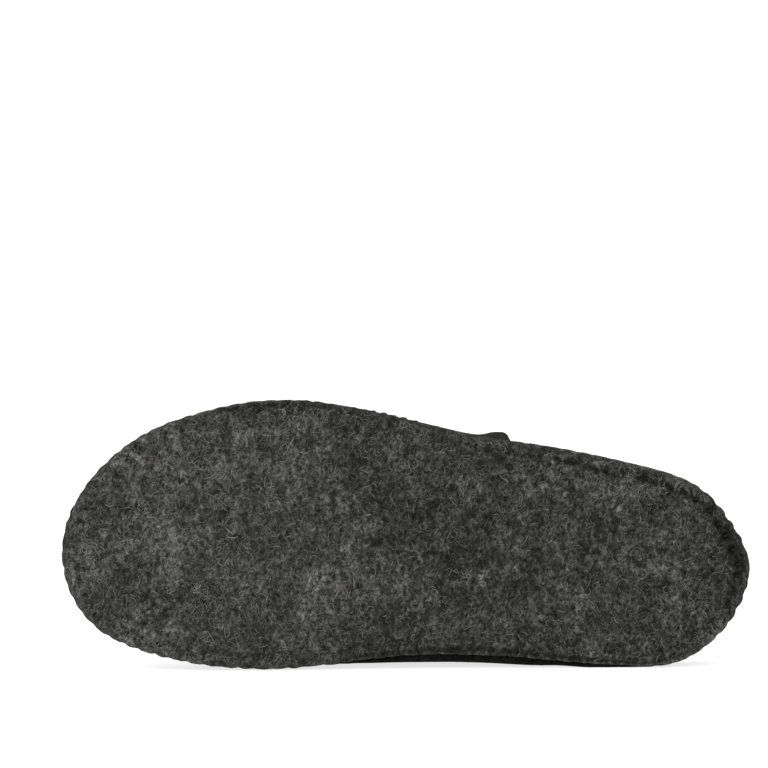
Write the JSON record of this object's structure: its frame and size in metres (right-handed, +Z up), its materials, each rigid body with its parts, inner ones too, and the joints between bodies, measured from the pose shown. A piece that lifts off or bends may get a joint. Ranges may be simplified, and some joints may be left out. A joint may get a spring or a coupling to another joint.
{
  "type": "felt slipper",
  "caption": "Open-backed felt house slipper lying on its inner side: felt sole with a whip-stitched rim, rounded vamp, low band round the heel and a cupped footbed.",
  "frame": {"origin": "centre of the bounding box in plan, on the floor that the slipper lies on", "axes": "-X towards the toe, +X towards the heel, -Y out of the tread (the tread faces -Y, tilted up by 4.7 degrees), +Z up, towards the outer side of the foot"},
  "size_m": [0.2706, 0.078, 0.1046],
  "materials": {
    "sole_felt": "matt boiled wool felt, mottled dark grey with paler fibres",
    "footbed_felt": "matt grey wool felt",
    "vamp_felt": "matt anthracite wool felt",
    "band_felt": "matt anthracite wool felt"
  },
  "bodies": {
    "root": {"outsole": "sole_felt", "footbed": "footbed_felt", "vamp": "vamp_felt", "heel_band": "band_felt"}
  },
  "joints": []
}
